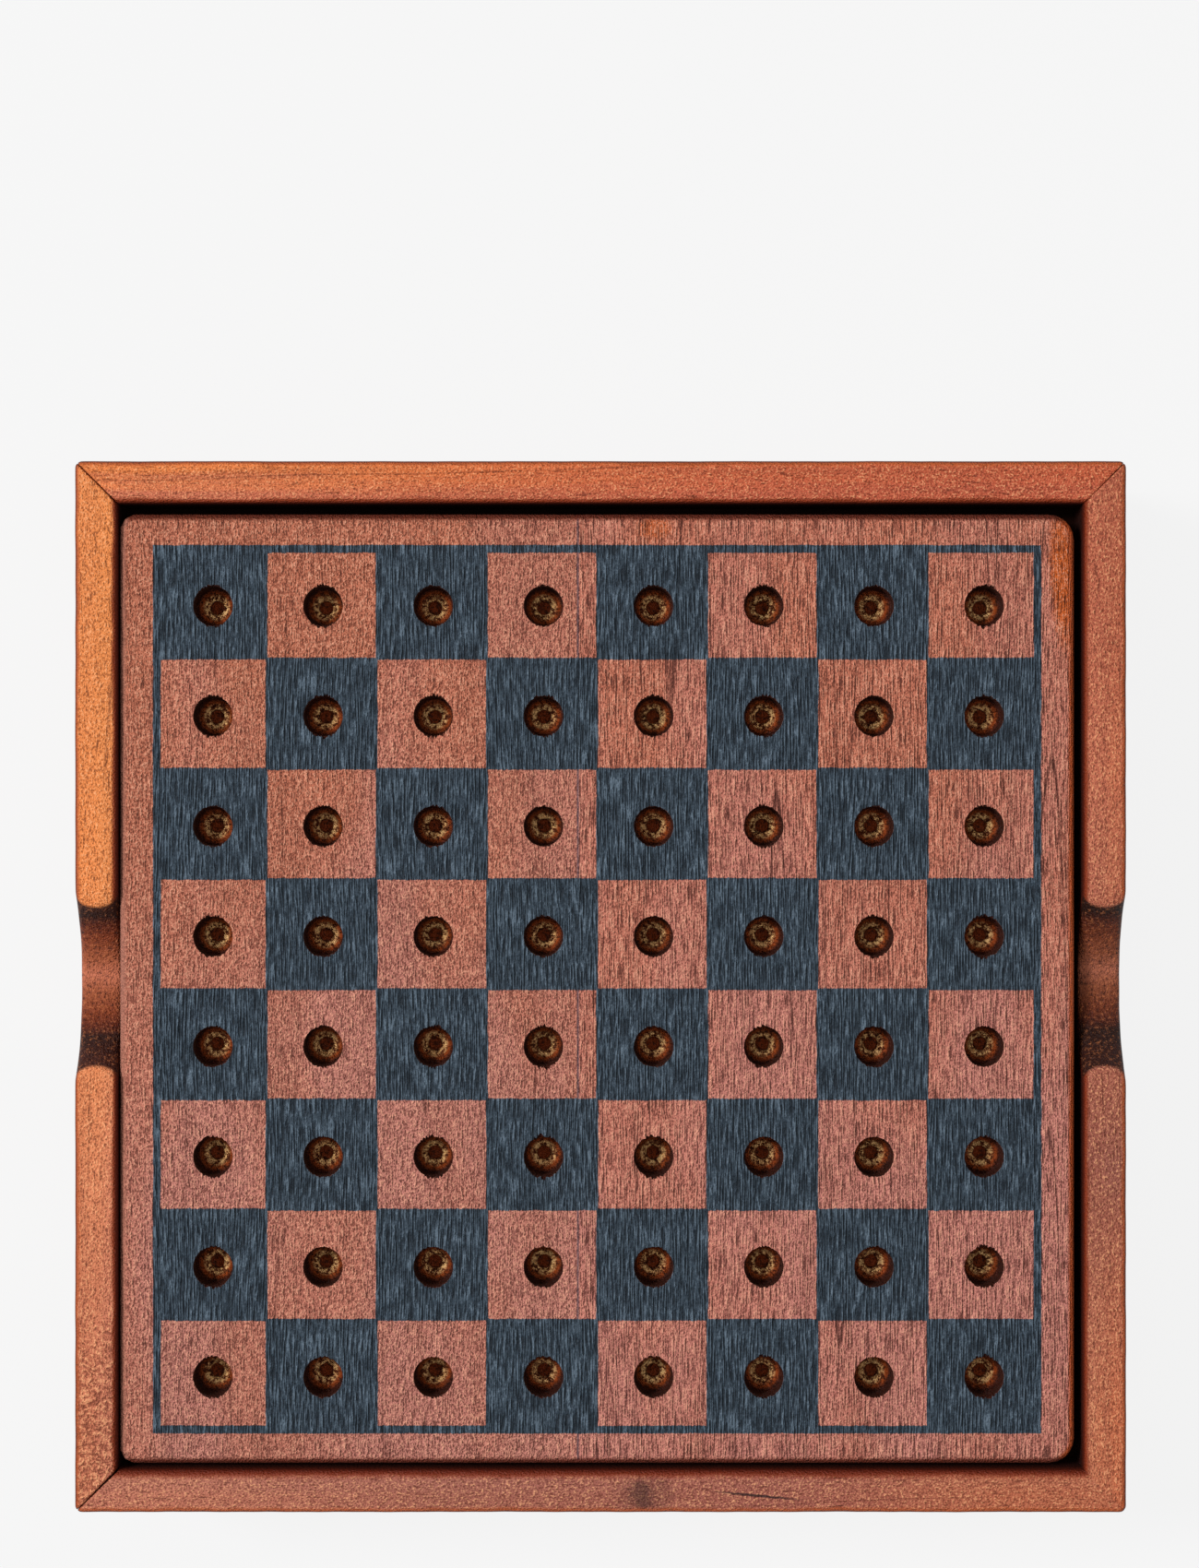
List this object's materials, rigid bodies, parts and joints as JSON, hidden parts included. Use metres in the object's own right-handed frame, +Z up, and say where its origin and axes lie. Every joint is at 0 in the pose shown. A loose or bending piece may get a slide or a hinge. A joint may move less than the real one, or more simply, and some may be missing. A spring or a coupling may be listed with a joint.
{
  "type": "chequered peg board in a tray",
  "caption": "Square chequered wooden peg board with a drilled hole in every square, lying loose in a mitred wooden tray with finger notches.",
  "frame": {"origin": "middle of the tray's footprint, on the surface that the tray stands on", "axes": "+Z up through the board, +X right and +Y back; the finger notches are in the left and right rails"},
  "size_m": [0.18, 0.18, 0.038],
  "materials": {
    "rail_wood": "satin stain",
    "panel_wood": "thin stain",
    "strip_wood": "thin stain",
    "board_wood": "satin stain",
    "dark_paint": "matt",
    "brad_steel": "dull"
  },
  "bodies": {
    "tray": {"rail_front": "rail_wood", "rail_back": "rail_wood", "rail_left": "rail_wood", "rail_right": "rail_wood", "base_panel": "panel_wood", "strip_front": "strip_wood", "strip_back": "strip_wood", "strip_left": "strip_wood", "strip_right": "strip_wood", "mitre_brads": "brad_steel", "strip_brads": "brad_steel"},
    "board": {"board_stave_left": "board_wood", "board_stave_right": "board_wood", "chequer_print": "dark_paint"}
  },
  "joints": [
    {"name": "board_lift", "type": "slide", "parent": "tray", "child": "board", "axis": [0, 0, 1], "range_m": [0, 0.06]}
  ]
}
